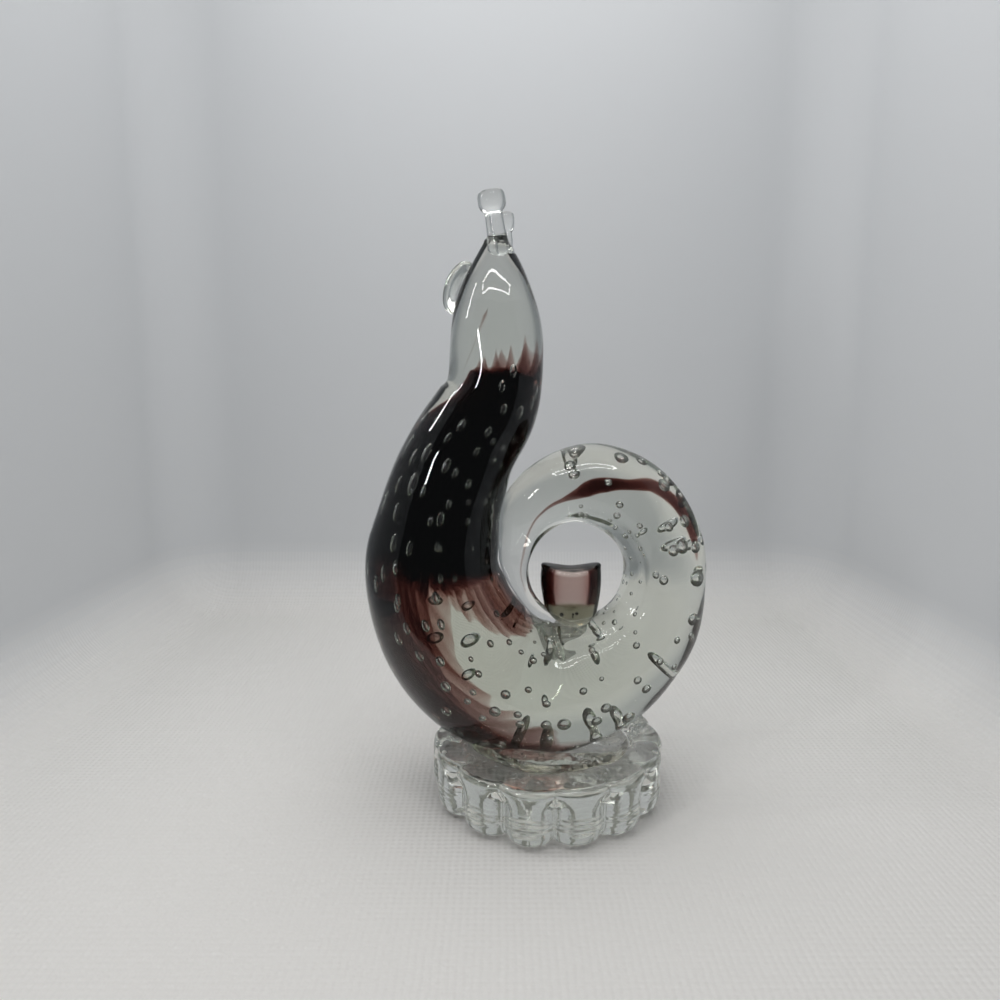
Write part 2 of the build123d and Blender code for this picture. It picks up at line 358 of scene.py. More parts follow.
def bubble_tree():
    """Geometry nodes: one small cavity on each seed point, stretched along its own heading."""
    tree = bpy.data.node_groups.new("air_bubbles", "GeometryNodeTree")
    face = tree.interface
    face.new_socket("Seeds", in_out="INPUT", socket_type="NodeSocketGeometry")
    size = face.new_socket("Bubble Scale", in_out="INPUT", socket_type="NodeSocketFloat")
    spread = face.new_socket("Size Spread", in_out="INPUT", socket_type="NodeSocketFloat")
    seed = face.new_socket("Random Seed", in_out="INPUT", socket_type="NodeSocketInt")
    wall = face.new_socket("Wall", in_out="INPUT", socket_type="NodeSocketMaterial")
    face.new_socket("Bubbles", in_out="OUTPUT", socket_type="NodeSocketGeometry")
    nodes, links = tree.nodes, tree.links
    entry, exit_ = nodes.new("NodeGroupInput"), nodes.new("NodeGroupOutput")
    heading = nodes.new("GeometryNodeInputNamedAttribute")
    heading.data_type = "FLOAT_VECTOR"
    heading.inputs["Name"].default_value = "heading"
    half_size = nodes.new("GeometryNodeInputNamedAttribute")
    half_size.data_type = "FLOAT_VECTOR"
    half_size.inputs["Name"].default_value = "half_size"
    align = nodes.new("FunctionNodeAlignRotationToVector")
    align.axis = "Z"
    low = nodes.new("ShaderNodeMath")
    low.operation = "SUBTRACT"
    low.inputs[0].default_value = 1.0
    high = nodes.new("ShaderNodeMath")
    high.operation = "ADD"
    high.inputs[0].default_value = 1.0
    vary = nodes.new("FunctionNodeRandomValue")
    vary.data_type = "FLOAT"
    scaled = nodes.new("ShaderNodeMath")
    scaled.operation = "MULTIPLY"
    stretched = nodes.new("ShaderNodeVectorMath")
    stretched.operation = "SCALE"
    ball = nodes.new("GeometryNodeMeshIcoSphere")
    ball.inputs["Radius"].default_value = 1.0
    ball.inputs["Subdivisions"].default_value = 2
    scatter = nodes.new("GeometryNodeInstanceOnPoints")
    realize = nodes.new("GeometryNodeRealizeInstances")
    flip = nodes.new("GeometryNodeFlipFaces")
    paint = nodes.new("GeometryNodeSetMaterial")
    links.new(heading.outputs["Attribute"], align.inputs["Vector"])
    links.new(entry.outputs["Size Spread"], low.inputs[1])
    links.new(entry.outputs["Size Spread"], high.inputs[1])
    links.new(low.outputs[0], vary.inputs[2])
    links.new(high.outputs[0], vary.inputs[3])
    links.new(entry.outputs["Random Seed"], vary.inputs["Seed"])
    links.new(vary.outputs[1], scaled.inputs[0])
    links.new(entry.outputs["Bubble Scale"], scaled.inputs[1])
    links.new(half_size.outputs["Attribute"], stretched.inputs[0])
    links.new(scaled.outputs[0], stretched.inputs["Scale"])
    links.new(entry.outputs["Seeds"], scatter.inputs["Points"])
    links.new(ball.outputs["Mesh"], scatter.inputs["Instance"])
    links.new(align.outputs["Rotation"], scatter.inputs["Rotation"])
    links.new(stretched.outputs["Vector"], scatter.inputs["Scale"])
    links.new(scatter.outputs["Instances"], realize.inputs["Geometry"])
    links.new(realize.outputs["Geometry"], flip.inputs["Mesh"])
    links.new(flip.outputs["Mesh"], paint.inputs["Geometry"])
    links.new(entry.outputs["Wall"], paint.inputs["Material"])
    links.new(paint.outputs["Geometry"], exit_.inputs["Bubbles"])
    sockets = {"scale": size, "spread": spread, "seed": seed, "wall": wall}
    return tree, {name: socket.identifier for name, socket in sockets.items()}


air_bubbles, bubble_inputs = bubble_tree()


def blown_bubbles(points, headings, half_sizes, spread, wall=clear_glass):
    """Mesh of cavities at points, each with a heading and half sizes (across, across, along)."""
    seeds = bpy.data.meshes.new("bubble_seeds")
    seeds.from_pydata([tuple(Vector(point) * MM) for point in points], [], [])
    for name, values in (("heading", headings), ("half_size", np.asarray(half_sizes) * MM)):
        attribute = seeds.attributes.new(name, "FLOAT_VECTOR", "POINT")
        attribute.data.foreach_set("vector", np.asarray(values, np.float32).ravel())
    holder = bpy.data.objects.new("bubble_seeds", seeds)
    scene.collection.objects.link(holder)
    modifier = holder.modifiers.new("air_bubbles", "NODES")
    modifier.node_group = air_bubbles
    modifier[bubble_inputs["scale"]] = 1.0
    modifier[bubble_inputs["spread"]] = spread
    modifier[bubble_inputs["seed"]] = RANDOM_SEED
    modifier[bubble_inputs["wall"]] = wall
    graph = bpy.context.evaluated_depsgraph_get()
    mesh = bpy.data.meshes.new_from_object(holder.evaluated_get(graph), depsgraph=graph)
    holder.modifiers.clear()
    bpy.data.objects.remove(holder)
    bpy.data.meshes.remove(seeds)
    return mesh


def with_bubbles(bm, bubbles):
    """Adds the cavities to a solid's bmesh."""
    bm.from_mesh(bubbles)
    bpy.data.meshes.remove(bubbles)


# Clear casing

TUBE_SIDES = 96
tube_turns = np.arange(TUBE_SIDES) * 360.0 / TUBE_SIDES


def throat_fold(length):
    """Fold of clear glass that stands proud on the throat, by turn round the tube."""
    above = length - (path.neck_end - FOLD_BELOW_HEAD)
    off = above / (FOLD_SPREAD_UP if above > 0 else FOLD_SPREAD_DOWN)
    facing = np.clip(np.cos(np.radians(tube_turns)), 0, 1) ** 2
    return FOLD_HEIGHT * math.exp(-off * off) * facing


CORDS = [(m, draw.uniform(16, 48), draw.uniform(0, 6.28)) for m in (1, 2, 3, 4, 5, 6, 7)]


def cords(length):
    """Slow unevenness that hand work leaves in the glass, by turn round the tube."""
    turn = np.radians(tube_turns)
    total = sum(np.cos(m * turn + math.tau * length / pitch + shift) for m, pitch, shift in CORDS)
    on_coil = float(ease(path.angle(length), 230.0, 290.0))
    return (0.05 + 0.015 * on_coil) * total * float(ease(length, 0, 40))


def eye_bead(length):
    """Crease on each side of the tube's inner face, which leaves a bead of glass round the eye."""
    angle = path.angle(length)
    shown = ease(angle, 258.0, 285.0) * ease(angle, 486.0, 448.0)
    tube = max(float(path.radius(length)), 5.0)
    crease = math.degrees(math.acos(1 - EYE_BEAD_WIDTH / tube))
    off = (np.abs(tube_turns - 180.0) - crease) / 5.5
    return -EYE_BEAD_CREASE * float(shown) * np.exp(-off * off)


def neck_side():
    """Polar angles about the eye, rising, and distances from its axis of the neck's inner side."""
    lengths = np.linspace(path.neck_end - 12.0, path.at_angle(256.0), 200)
    side = path.place(lengths, 180.0, path.radius(lengths)) - np.array([EYE_X, 0, EYE_Z])
    return np.degrees(np.arctan2(side[:, 2], side[:, 0])) % 360.0, np.hypot(side[:, 0], side[:, 2])


NECK_SIDE = neck_side()


def widened_tail(length):
    """Reach of the tube by turn, with the tail widened outwards until it lies against the neck."""
    angle, radius = path.angle(length), float(path.radius(length))
    room = np.interp(angle - 360.0, *NECK_SIDE) - coil_inside(angle) - 2 * radius - TAIL_CLEARANCE
    shift = 0.5 * float(np.clip(room, 0, TAIL_WIDENING_LIMIT) * ease(angle, 450.0, 500.0))
    turn = np.radians(tube_turns)
    return shift * np.cos(turn) + np.sqrt((radius + shift) ** 2 - (shift * np.sin(turn)) ** 2)


def casing_rings():
    """Rings of the whole snail's outside, from the tail's rounded tip to the crown."""
    rings = []
    for bend in np.radians([75, 50, 25]):
        tip = path.place(0.0, tube_turns, widened_tail(0.0) * math.cos(bend))
        heading = path.heading(np.array(0.0))
        back = TAIL_FADE_RADIUS * math.sin(bend)
        rings.append(tip - back * np.array([heading[0], 0, heading[1]]))
    for length in np.linspace(0, path.end, 460):
        reach = widened_tail(length) + throat_fold(length) + cords(length) + eye_bead(length)
        rings.append(path.place(length, tube_turns, reach))
    top = rings[-1][:, 2].mean()
    for share in (0.35, 0.65, 0.88):
        ring = path.place(path.end, tube_turns, CROWN_RADIUS * math.sqrt(1 - share * share))
        ring[:, 2] = top + CROWN_CAP * share
        rings.append(ring)
    return rings


def casing_bubbles():
    """Rows of bubbles in the casing: long on the neck's outside, small and round on the inside."""
    points, headings, halves = [], [], []
    first = path.at_angle(455.0)
    last = path.neck_end - 8.0
    for row, length in enumerate(np.arange(last, first, -BUBBLE_ROW_STEP)):
        for column in range(BUBBLE_COLUMNS):
            turn = (column + 0.5 * (row % 2)) * 360.0 / BUBBLE_COLUMNS + draw.normal(0, 5.0)
            along = length + draw.normal(0, 1.5)
            kept, fat, deep = draw.random(3)
            outer = 0.5 + 0.5 * math.cos(math.radians(turn))
            on_neck = float(ease(path.angle(along), 235.0, 165.0))
            near_top = float(ease(along, path.neck_end - 30.0, path.neck_end - 12.0))
            long_half = (0.65 + 1.15 * outer) * (1 - on_neck) + (0.55 + 3.3 * outer ** 1.2) * on_neck
            wide_half = (0.55 + 0.9 * outer) * (1 - on_neck) + (0.5 + 0.85 * outer) * on_neck
            long_half = long_half * (1 - near_top) + 2.5 * near_top
            wide_half = wide_half * (1 - near_top) + 1.25 * near_top
            under_fold = along > path.neck_end - 24.0 and outer > 0.55
            crowded = 0.75 * (1 - float(path.radius(along)) / BODY_RADIUS) * (1 - on_neck)
            if kept < 0.17 + crowded or under_fold:
                continue
            scale = 0.72 + (0.45 + 0.35 * (1 - on_neck)) * fat ** 1.5
            depth = 1.0 + wide_half * scale + 0.8 * deep
            points.append(path.place(along, turn, float(path.radius(along)) - depth))
            way = path.heading(np.array(along))
            headings.append((way[0], 0.0, way[1]))
            halves.append((wide_half * scale, wide_half * scale, long_half * scale))
    return blown_bubbles(points, headings, halves, 0.12)


casing_skin = casing_rings()
casing = skin(casing_skin, casing_skin[0].mean(0), casing_skin[-1].mean(0) + np.array([0, 0, 0.25]))
with_bubbles(casing, casing_bubbles())
casing_mesh = finished_mesh(casing, "clear_casing", [clear_glass])
add_piece(casing_mesh, "clear_casing")


# Amethyst core and clear heart

CORE_SIDES = 288
core_turns = np.arange(CORE_SIDES) * 360.0 / CORE_SIDES


def sheath_end_angle(turns):
    """Coil angle where the sheath runs out: late on the outside and inside, early in front and behind."""
    across = np.cos(np.radians(turns))
    reach = np.where(across > 0, 84.0 * np.abs(across) ** 0.8, 60.0 * np.abs(across) ** 1.9)
    return 180.0 + reach


# Flames on the core's top edge: (turn, height)
FLAMES = [
    (70, 4.0), (95, 6.5), (120, 7.5), (145, 8.5), (171, 9.5),
    (196, 9.0), (221, 10.0), (246, 8.5), (270, 7.0), (293, 4.0)
]


def core_reach(length):
    """Reach of the core's outside by turn: deep under the throat, near the surface on the inner side."""
    facing = np.cos(np.radians(core_turns))
    slope = 2.2 * ease(length, path.neck_end - 34.0, path.neck_end - 6.0)
    corner = 1.2 * ease(length, path.neck_end - 16.0, path.neck_end - 4.0)
    throat = (slope + corner) * np.clip(facing, 0, 1)
    inner = 2.2 * ease(length, path.neck_end - 36.0, path.neck_end - 6.0) * np.clip(facing, -1, 0)
    return path.radius(length) - CASING_WALL - throat - inner


def core_rings():
    """Rings of the core from its rounded top, over the flames and down its outside to the brush ends,
    then back up the inside of the sheath to the dome of the heart."""
    flame_turns, flame_heights = np.array(FLAMES).T
    right_side = ease(np.abs((core_turns + 180.0) % 360.0 - 180.0), 40.0, 85.0)
    flames = comb(core_turns, flame_turns, flame_heights, 13.0)
    streak_turns = np.arange(0, 360, 7.5) + draw.normal(0, 1.5, 48)
    streaks = comb(core_turns, streak_turns, draw.uniform(0.2, 1.0, 48), 6.5)
    slow = waves(core_turns, [0.5, 0.4, 0.3, 0.4], draw.uniform(0, 6.28, 4))
    top = path.neck_end - CORE_TOP_BELOW_HEAD + slow + 0.4 * (1 - right_side)
    tip = top + flames
    sides = np.abs(np.cos(np.radians(core_turns)))
    end = path.at_angle(sheath_end_angle(core_turns)) - 7.0 * streaks * (0.3 + 0.7 * sides) + 2.0 * slow
    bristle_turns = np.arange(0, 360, 3.75) + draw.normal(0, 0.8, 96)
    bristles = comb(core_turns, bristle_turns, draw.uniform(0, 1, 96), 3.4)
    outer = np.clip(np.cos(np.radians(core_turns)), 0, 1)
    heart_top = path.at_angle(186.0) + 10.0 * outer + slow + 5.0 * (bristles - 0.5) + 2.0 * (streaks - 0.5)
    thick = SHEATH_WALL * (0.4 + 1.2 * streaks)
    rings = []
    for share in (0.15, 0.35, 0.55, 0.72, 0.86):
        length = top + 3.0 * (1 - share * share) - 2.4
        rings.append(path.place(length, core_turns, share * (core_reach(top) - 1.5)))
    for share in (0.3, 0.6, 0.85):
        length = top - 1.5 + (tip - top + 1.5) * share
        rings.append(path.place(length, core_turns, core_reach(length) - 2.0 * (1 - share) - 0.6))
    rings.append(path.place(tip, core_turns, core_reach(tip) - 0.2))
    for share in np.linspace(0, 1, 90)[1:]:
        length = tip + (end - tip) * share
        rings.append(path.place(length, core_turns, core_reach(length) - 0.15 * share))
    below = np.maximum(heart_top - end, 1.0)
    for share in np.linspace(0, 1, 44)[1:]:
        length = end + below * share
        wall = 0.4 + (thick - 0.4) * np.clip(share * below / 15.0, 0, 1) ** 0.6
        rings.append(path.place(length, core_turns, core_reach(length) - wall))
    for share in (0.95, 0.86, 0.74, 0.6, 0.45, 0.28, 0.12):
        length = end + below + 6.0 * math.sqrt(1 - share * share) * (1 - share * share)
        rings.append(path.place(length, core_turns, share * (core_reach(end + below) - thick)))
    return rings


# Wisp of colour drawn up from the core into the head: (x, y, z, half width)
WISP = [
    (-23.6, -3.0, 129.0, 0.06), (-22.6, -3.0, 132.0, 0.16), (-20.6, -3.0, 138.0, 0.18),
    (-19.2, -3.0, 142.2, 0.3), (-18.4, -3.0, 144.6, 0.5), (-17.8, -3.0, 146.4, 0.1)
]


def wisp():
    """Round rod through the wisp's points."""
    turn = np.radians(tube_turns[::6])
    rings = []
    for x, y, z, half in WISP:
        rings.append(np.stack([x + half * np.cos(turn), y + half * np.sin(turn), 0 * turn + z], -1))
    return skin(rings, rings[0].mean(0), rings[-1].mean(0))


def joined(bm, other):
    """Adds one bmesh to another."""
    scratch = bpy.data.meshes.new("scratch")
    other.to_mesh(scratch)
    other.free()
    bm.from_mesh(scratch)
    bpy.data.meshes.remove(scratch)


core_skin = core_rings()
core = skin(core_skin, core_skin[0].mean(0) + np.array([0, 0, 0.2]), core_skin[-1].mean(0))
joined(core, wisp())
core_mesh = finished_mesh(core, "amethyst_core", [amethyst_glass])
add_piece(core_mesh, "amethyst_core")


def heart_rings():
    """Rings of the clear first gather, inside the sheath."""
    rings = []
    first, last = path.at_angle(242.0), path.at_angle(190.0)
    for length in np.linspace(first, last, 40):
        reach = float(path.radius(length)) - CASING_WALL - SHEATH_WALL - 1.6
        share = (length - first) / (last - first)
        round_end = math.sqrt(max(0.02, 1 - (2 * share - 1) ** 8))
        rings.append(path.place(length, tube_turns, reach * round_end))
    return rings


heart_skin = heart_rings()
heart = skin(heart_skin, heart_skin[0].mean(0), heart_skin[-1].mean(0))
add_piece(finished_mesh(heart, "clear_heart", [heart_glass]), "clear_heart")


# Tail thread and bud

# Thread of colour: (coil angle, place between centre and outside, half width)
THREAD = [
    (366, 0.66, 0.15), (378, 0.66, 0.9), (395, 0.62, 1.3), (410, 0.48, 1.1),
    (422, 0.22, 1.2), (432, 0.04, 1.6), (441, -0.08, 1.5), (450, -0.16, 1.0),
    (462, -0.2, 0.55), (480, -0.16, 0.3), (500, 0.0, 0.2), (562, 0.0, 0.12)
]
THREAD_STANDING = 2.4


def thread_rings():
    """Rings of the ribbon of colour, drawn out along the tail and standing on edge."""
    angles, places, widths = np.array(THREAD).T
    rings = []
    for angle in np.linspace(angles[-1], angles[0], 220):
        length = path.at_angle(angle)
        shift = np.interp(angle, angles, places) * (float(path.radius(length)) - 2.2)
        ring = path.place(length, tube_turns[::4], np.interp(angle, angles, widths))
        ring[:, 1] *= THREAD_STANDING
        rings.append(ring + path.place(length, 0.0, shift) - path.place(length, 0.0, 0.0))
    return rings


thread_skin = thread_rings()
thread = skin(thread_skin, thread_skin[0].mean(0), thread_skin[-1].mean(0))
add_piece(finished_mesh(thread, "amethyst_tail", [amethyst_glass]), "amethyst_tail")


def bud_rings(inset, foot_height=None):
    """Rings of the tail's bud at an inset from its surface, from its foot on the eye's floor, or from a
    flat foot at a given height, to its hollowed top."""
    turns = np.radians(tube_turns)
    floor_radius = float(coil_inside(270.0))
    tube = float(coil_radius(270.0))
    radius = BUD_RADIUS - inset
    x, y = radius * np.cos(turns), BUD_DEPTH_SHARE * radius * np.sin(turns)
    floor_drop = tube - np.sqrt(np.maximum(tube ** 2 - y ** 2, 0))
    floor_rise = floor_radius - np.sqrt(np.maximum(floor_radius ** 2 - (x + BUD_X - EYE_X) ** 2, 0))
    foot = EYE_Z - floor_radius + floor_rise - floor_drop + 0.25
    if foot_height is not None:
        foot = 0 * turns + foot_height
    shoulder = EYE_Z + BUD_TOP - BUD_ROUNDING
    corner = np.maximum(BUD_ROUNDING - inset, 0.2)
    steps = []
    for i in range(16):
        swell = 0.86 + 0.14 * math.sin(math.pi * i / 22)
        steps.append((radius * swell, foot + (shoulder - foot) * i / 15))
    for bend in np.radians([15, 30, 45, 60, 75, 85]):
        steps.append((radius - corner * (1 - math.cos(bend)), shoulder + corner * math.sin(bend)))
    rings = []
    for reach, height in steps:
        ring_x, ring_y = reach * np.cos(turns), BUD_DEPTH_SHARE * reach * np.sin(turns)
        lift = ease(height, EYE_Z - 9.0, EYE_Z + BUD_TOP)
        hollow = lift * BUD_HOLLOW * (1 - (ring_x / BUD_RADIUS) ** 2)
        rings.append(np.stack([BUD_X + ring_x, ring_y, height - hollow], -1))
    return rings


def bud_solid(inset):
    """The bud as a closed solid at an inset from its surface."""
    rings = bud_rings(inset)
    foot_middle = rings[0].mean(0)
    foot_middle[2] = EYE_Z - float(coil_inside(270.0)) + 0.25
    return skin(rings, foot_middle, rings[-1].mean(0))


def bud_sleeve():
    """Sleeve of amethyst under the bud's skin, open at both ends."""
    outside = bud_rings(0.4, BUD_COLOUR_FOOT)[:-4]
    thicker = np.abs(np.cos(np.radians(tube_turns))) ** 4
    inside = bud_rings(0.4 + BUD_SHELL + 3.4 * thicker, BUD_COLOUR_FOOT + 0.1)[:-4]
    bm = skin(outside + inside[::-1] + outside[:1])
    bmesh.ops.remove_doubles(bm, verts=bm.verts, dist=1e-7)
    bmesh.ops.recalc_face_normals(bm, faces=bm.faces)
    return bm


def bud_mesh():
    """The bud: a clear skin, a sleeve of amethyst under it, and an olive foot with seeds."""
    bm = bud_solid(0.0)
    layers = [(bud_sleeve(), 1)]
    foot = bud_solid(0.5)
    for vert in foot.verts:
        vert.co.z = min(vert.co.z + 0.0005, (BUD_COLOUR_FOOT - 0.1) * MM + 0.02 * (vert.co.z - 0.06))
    layers.append((foot, 2))
    for layer, index in layers:
        solid_faces = len(bm.faces)
        joined(bm, layer)
        bm.faces.ensure_lookup_table()
        for face in bm.faces[solid_faces:]:
            face.material_index = index
    points = []
    for i in range(6):
        points.append((BUD_X + draw.uniform(-6, 6), draw.uniform(-4.0, 0.0), draw.uniform(56.2, 58.2)))
    ways = [(1, 0, 0)] * len(points)
    sizes = [[draw.uniform(0.25, 0.55)] * 3 for point in points]
    with_bubbles(bm, blown_bubbles(points, ways, sizes, 0.1))
    return finished_mesh(bm, "tail_bud", [clear_glass, amethyst_glass, olive_glass])


add_piece(bud_mesh(), "tail_bud")


# Foot and wafer

FOOT_SIDES = LOBE_COUNT * 18
foot_turns = np.arange(FOOT_SIDES) * 360.0 / FOOT_SIDES
LOBE_SIZES = draw.uniform(-0.5, 0.5, LOBE_COUNT)


def lobe_place(turns):
    """Which lobe a turn belongs to, and how far it is from the lobe's middle (0) to the groove (1)."""
    pitch = 360.0 / LOBE_COUNT
    lobe = np.round(turns / pitch).astype(int) % LOBE_COUNT
    return lobe, np.abs((turns + pitch / 2) % pitch - pitch / 2) / (pitch / 2)


def lobe_outline(turns):
    """Distance from the middle to the edge of the lobed disc."""
    lobe, off = lobe_place(turns)
    return FOOT_RADIUS + LOBE_SIZES[lobe] * (1 - off ** 2) - GROOVE_DEPTH * off ** 2.6


def dish_height(x, y):
    """Height of the coil's underside above the table, for the dish that it leaves in the foot."""
    tube = 20.0
    hoop = 57.0
    middle = EYE_Z - hoop
    return middle + (x - EYE_X) ** 2 / (2 * hoop) + y ** 2 / (2 * tube)


# Top of the foot from the edge inwards: (distance from the middle, greatest height)
DISH_PROFILE = [(30.0, 18.3), (28.0, 18.6), (26.6, 18.7), (25.5, 17.8)]
DISH_PROFILE += [(reach, 17.4) for reach in (24.0, 20.0, 15.0, 10.0, 5.0, 1.0)]


def foot_rings():
    """Rings of the foot: its flat underside, the rippled lobes, the edge and the dish under the coil."""
    turn = np.radians(foot_turns)
    outline = lobe_outline(foot_turns)
    off = lobe_place(foot_turns)[1]

    def ring(inset, height):
        filled = GROOVE_DEPTH * off ** 2.6 * 0.72 * ease(height, 10.5, 17.0)
        ripple = np.sin(math.tau * (height + 1.4 * off ** 2) / RIPPLE_PITCH) * RIPPLE_HEIGHT
        wave = ripple * ease(height, 1.0, 4.0) * ease(height, 12.0, 7.0)
        reach = np.maximum(outline + filled - inset + wave * (1 - off ** 2), 0.5)
        x, y = reach * np.cos(turn), reach * np.sin(turn)
        top = dish_height(x, y) - 0.35
        return np.stack([x, y, np.minimum(0 * turn + height, np.where(height > 12, top, height))], -1)

    rings = [ring(20.0, 0.0), ring(10.0, 0.0)]
    for bend in np.radians([0, 15, 30, 45, 60, 75, 90]):
        cut = LOBE_BOTTOM_ROUNDING
        rings.append(ring(cut * (1 - math.sin(bend)), cut * (1 - math.cos(bend))))
    for height in np.linspace(LOBE_BOTTOM_ROUNDING, FOOT_HEIGHT - LOBE_TOP_ROUNDING, 34)[1:]:
        rings.append(ring(0.0, height))
    for bend in np.radians([18, 36, 54, 72, 90]):
        cut = LOBE_TOP_ROUNDING
        rings.append(ring(cut * (1 - math.cos(bend)), FOOT_HEIGHT - cut + cut * math.sin(bend)))
    for reach, height in DISH_PROFILE:
        x, y = reach * np.cos(turn), reach * np.sin(turn)
        gap = 0.35 if reach > 26 else 3.0
        rings.append(np.stack([x, y, np.minimum(dish_height(x, y) - gap, height)], -1))
    return rings


def scattered_seeds(count, nearest, farthest, surface, wall):
    """Small bubbles scattered under the collar's surface, between two distances from the middle."""
    points, halves = [], []
    for turn in np.radians(draw.uniform(0, 360, count)):
        reach = draw.uniform(nearest, farthest)
        x, y = reach * math.cos(turn), reach * math.sin(turn)
        top = min(surface, float(dish_height(x, y)) - 0.35)
        points.append((x, y, top - draw.uniform(0.7, 1.1)))
        halves.append([draw.uniform(0.15, 0.42)] * 2 + [draw.uniform(0.2, 0.6)])
    ways = [(-y, x, 0.0) for x, y, z in points]
    return blown_bubbles(points, ways, halves, 0.1, wall)


foot_skin = foot_rings()
foot = skin(foot_skin, (0, 0, 0), (0, 0, foot_skin[-1][:, 2].mean()))
with_bubbles(foot, scattered_seeds(90, 25.5, 31.0, 18.3, foot_glass))
add_piece(finished_mesh(foot, "fluted_foot", [foot_glass]), "fluted_foot")


WAFER_WAVES = draw.uniform(0, 6.28, 7)

# Ledge of the wafer, from its lower edge inwards: (distance from the middle, greatest height)
WAFER_LEDGE = [
    (24.8, 18.1), (25.3, 18.5), (25.2, 19.0), (24.6, 19.3), (22.5, 19.8), (20.0, 20.3), (17.5, 20.8)
]


def wafer_rings():
    """Rings of the saucer of glass: its underside, the wavy ledge and the print of the coil."""
    turn = np.radians(foot_turns)
    ledge = 1 + 0.028 * waves(foot_turns, [0.4, 0.5, 0.3, 0.5, 0.6, 0.3, 0.8], WAFER_WAVES)
    rings = []
    for reach in (1.0, 6.0, 12.0, 17.0, 21.0, 24.0):
        x, y = reach * np.cos(turn), reach * np.sin(turn)
        depth = np.minimum(dish_height(x, y) - 2.8, FOOT_HEIGHT - 0.3)
        rings.append(np.stack([x, y, depth], -1))
    for reach, height in WAFER_LEDGE:
        x, y = reach * ledge * np.cos(turn), reach * ledge * np.sin(turn)
        rings.append(np.stack([x, y, np.minimum(0 * turn + height, dish_height(x, y) - 0.3)], -1))
    for reach in (15.0, 11.0, 7.0, 3.0, 1.0):
        x, y = reach * np.cos(turn), reach * np.sin(turn)
        rings.append(np.stack([x, y, np.minimum(dish_height(x, y) - 0.3, COLLAR_HEIGHT)], -1))
    return rings


wafer_skin = wafer_rings()
wafer = skin(wafer_skin, (0, 0, wafer_skin[0][:, 2].mean()), (0, 0, wafer_skin[-1][:, 2].mean()))
with_bubbles(wafer, scattered_seeds(110, 15.5, 23.5, 20.3, seam_glass))
add_piece(finished_mesh(wafer, "joining_wafer", [seam_glass]), "joining_wafer")


# Tentacles and lip

def turned_about_head(offset):
    """An offset from the head's axis, turned with the head."""
    turn = math.radians(-HEAD_TURN)
    x, y, z = offset
    return np.array([x * math.cos(turn) - y * math.sin(turn), x * math.sin(turn) + y * math.cos(turn), z])


head_base = np.array([path.head_base[0], 0.0, path.head_base[1]])
crown = head_base + np.array([0, 0, HEAD_LENGTH])


def lathe(profile, origin, axis, sides=48):
    """Solid turned about an axis: profile is (reach, height) from one pole to the other."""
    axis = Vector(axis).normalized()
    side = axis.orthogonal().normalized()
    other = axis.cross(side)
    origin = Vector(origin)
    turns = [i * math.tau / sides for i in range(sides)]
    ways = [side * math.cos(turn) + other * math.sin(turn) for turn in turns]
    rings = []
    for reach, height in profile[1:-1]:
        middle = origin + axis * height
        rings.append([middle + reach * way for way in ways])
    return skin(rings, origin + axis * profile[0][1], origin + axis * profile[-1][1])


# Foot of a stalk: (reach, height). Knob: (share of its reach, height from its middle)
STALK_FOOT = [(1.4, -2.3), (2.3, -1.7), (2.9, -0.4), (3.0, 1.2), (2.75, 4.0)]
KNOB = [
    (0.74, -2.9), (0.9, -2.3), (0.985, -1.3), (1.0, 0.0), (0.985, 1.0), (0.9, 1.9), (0.7, 2.45), (0.4, 2.65)
]


def tentacle_mesh(name, across, shift, length, lean, splay, knob, stout):
    """Tapered stalk with a boxy knob, flattened on top."""
    foot = crown + turned_about_head((0, across, -2.0)) + np.array([shift, 0, 0])
    tilt, roll = math.radians(lean), math.radians(splay)
    axis = (math.sin(tilt), -math.sin(roll) * math.cos(tilt), math.cos(roll) * math.cos(tilt))
    stalk = STALK_FOOT + [(2.5, length - 4.4), (2.4, length - 3.6)]
    profile = [(0, -2.4)] + [(stout * reach, height) for reach, height in stalk]
    profile += [(knob * share, length + rise) for share, rise in KNOB]
    profile.append((0, length + 2.7))
    return finished_mesh(lathe(profile, foot, axis), name, [clear_glass])


STALK_LENGTH = 14.0
near = tentacle_mesh("near_tentacle", -4.1, 2.4, STALK_LENGTH - 1.0, -9.0, 5.0, 3.9, 1.0)
add_piece(near, "near_tentacle")
far = tentacle_mesh("far_tentacle", 4.1, 0.6, STALK_LENGTH - 5.0, 4.0, -5.0, 2.3, 0.8)
add_piece(far, "far_tentacle")


def lip_mesh():
    """Lens of clear glass on the front of the face."""
    height = HEAD_LENGTH - 12.0
    face_reach = HEAD_RADIUS - (HEAD_RADIUS - CROWN_RADIUS) * (height / HEAD_LENGTH) ** 2
    middle = head_base + turned_about_head((-(face_reach + 0.6), 0, height))
    tilt = math.radians(22.0)
    axis = turned_about_head((-math.cos(tilt), 0, math.sin(tilt)))
    profile = [(0, -1.2)]
    for bend in np.radians([-80, -60, -40, -20, 0, 20, 40, 60, 80]):
        profile.append((8.0 * math.cos(bend) ** 0.7, 1.0 + (2.6 if bend > 0 else 2.2) * math.sin(bend)))
    profile.append((0, 3.6))
    return finished_mesh(lathe(profile, middle, axis, 64), "face_lip", [clear_glass])


add_piece(lip_mesh(), "face_lip")


# Stage, light and camera

